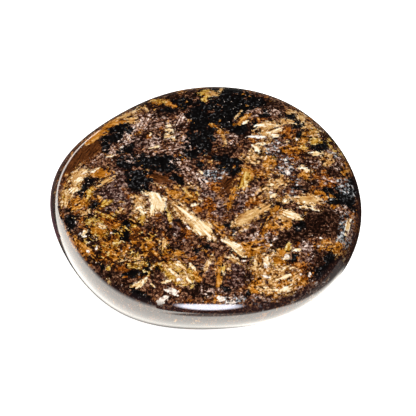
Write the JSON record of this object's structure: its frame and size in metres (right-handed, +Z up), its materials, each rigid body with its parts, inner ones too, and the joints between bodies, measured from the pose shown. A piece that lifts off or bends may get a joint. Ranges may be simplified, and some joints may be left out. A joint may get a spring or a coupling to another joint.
{
  "type": "bronzite flat stone",
  "caption": "Flat, rounded pebble of polished bronzite: two nearly flat faces and a full round edge, to lie on a surface or be held in the hand.",
  "frame": {"origin": "under the middle of the stone's outline, on the surface that it lies on", "axes": "+X along the longest width and +Z up, through the thickness; the face in the picture is up and its lower side faces -Y"},
  "size_m": [0.0504, 0.048, 0.0093],
  "materials": {
    "bronzite": "high polish over mottled dark brown, black, gold and cream crystals with a slight bronze lustre"
  },
  "bodies": {
    "root": {"stone": "bronzite"}
  },
  "joints": []
}
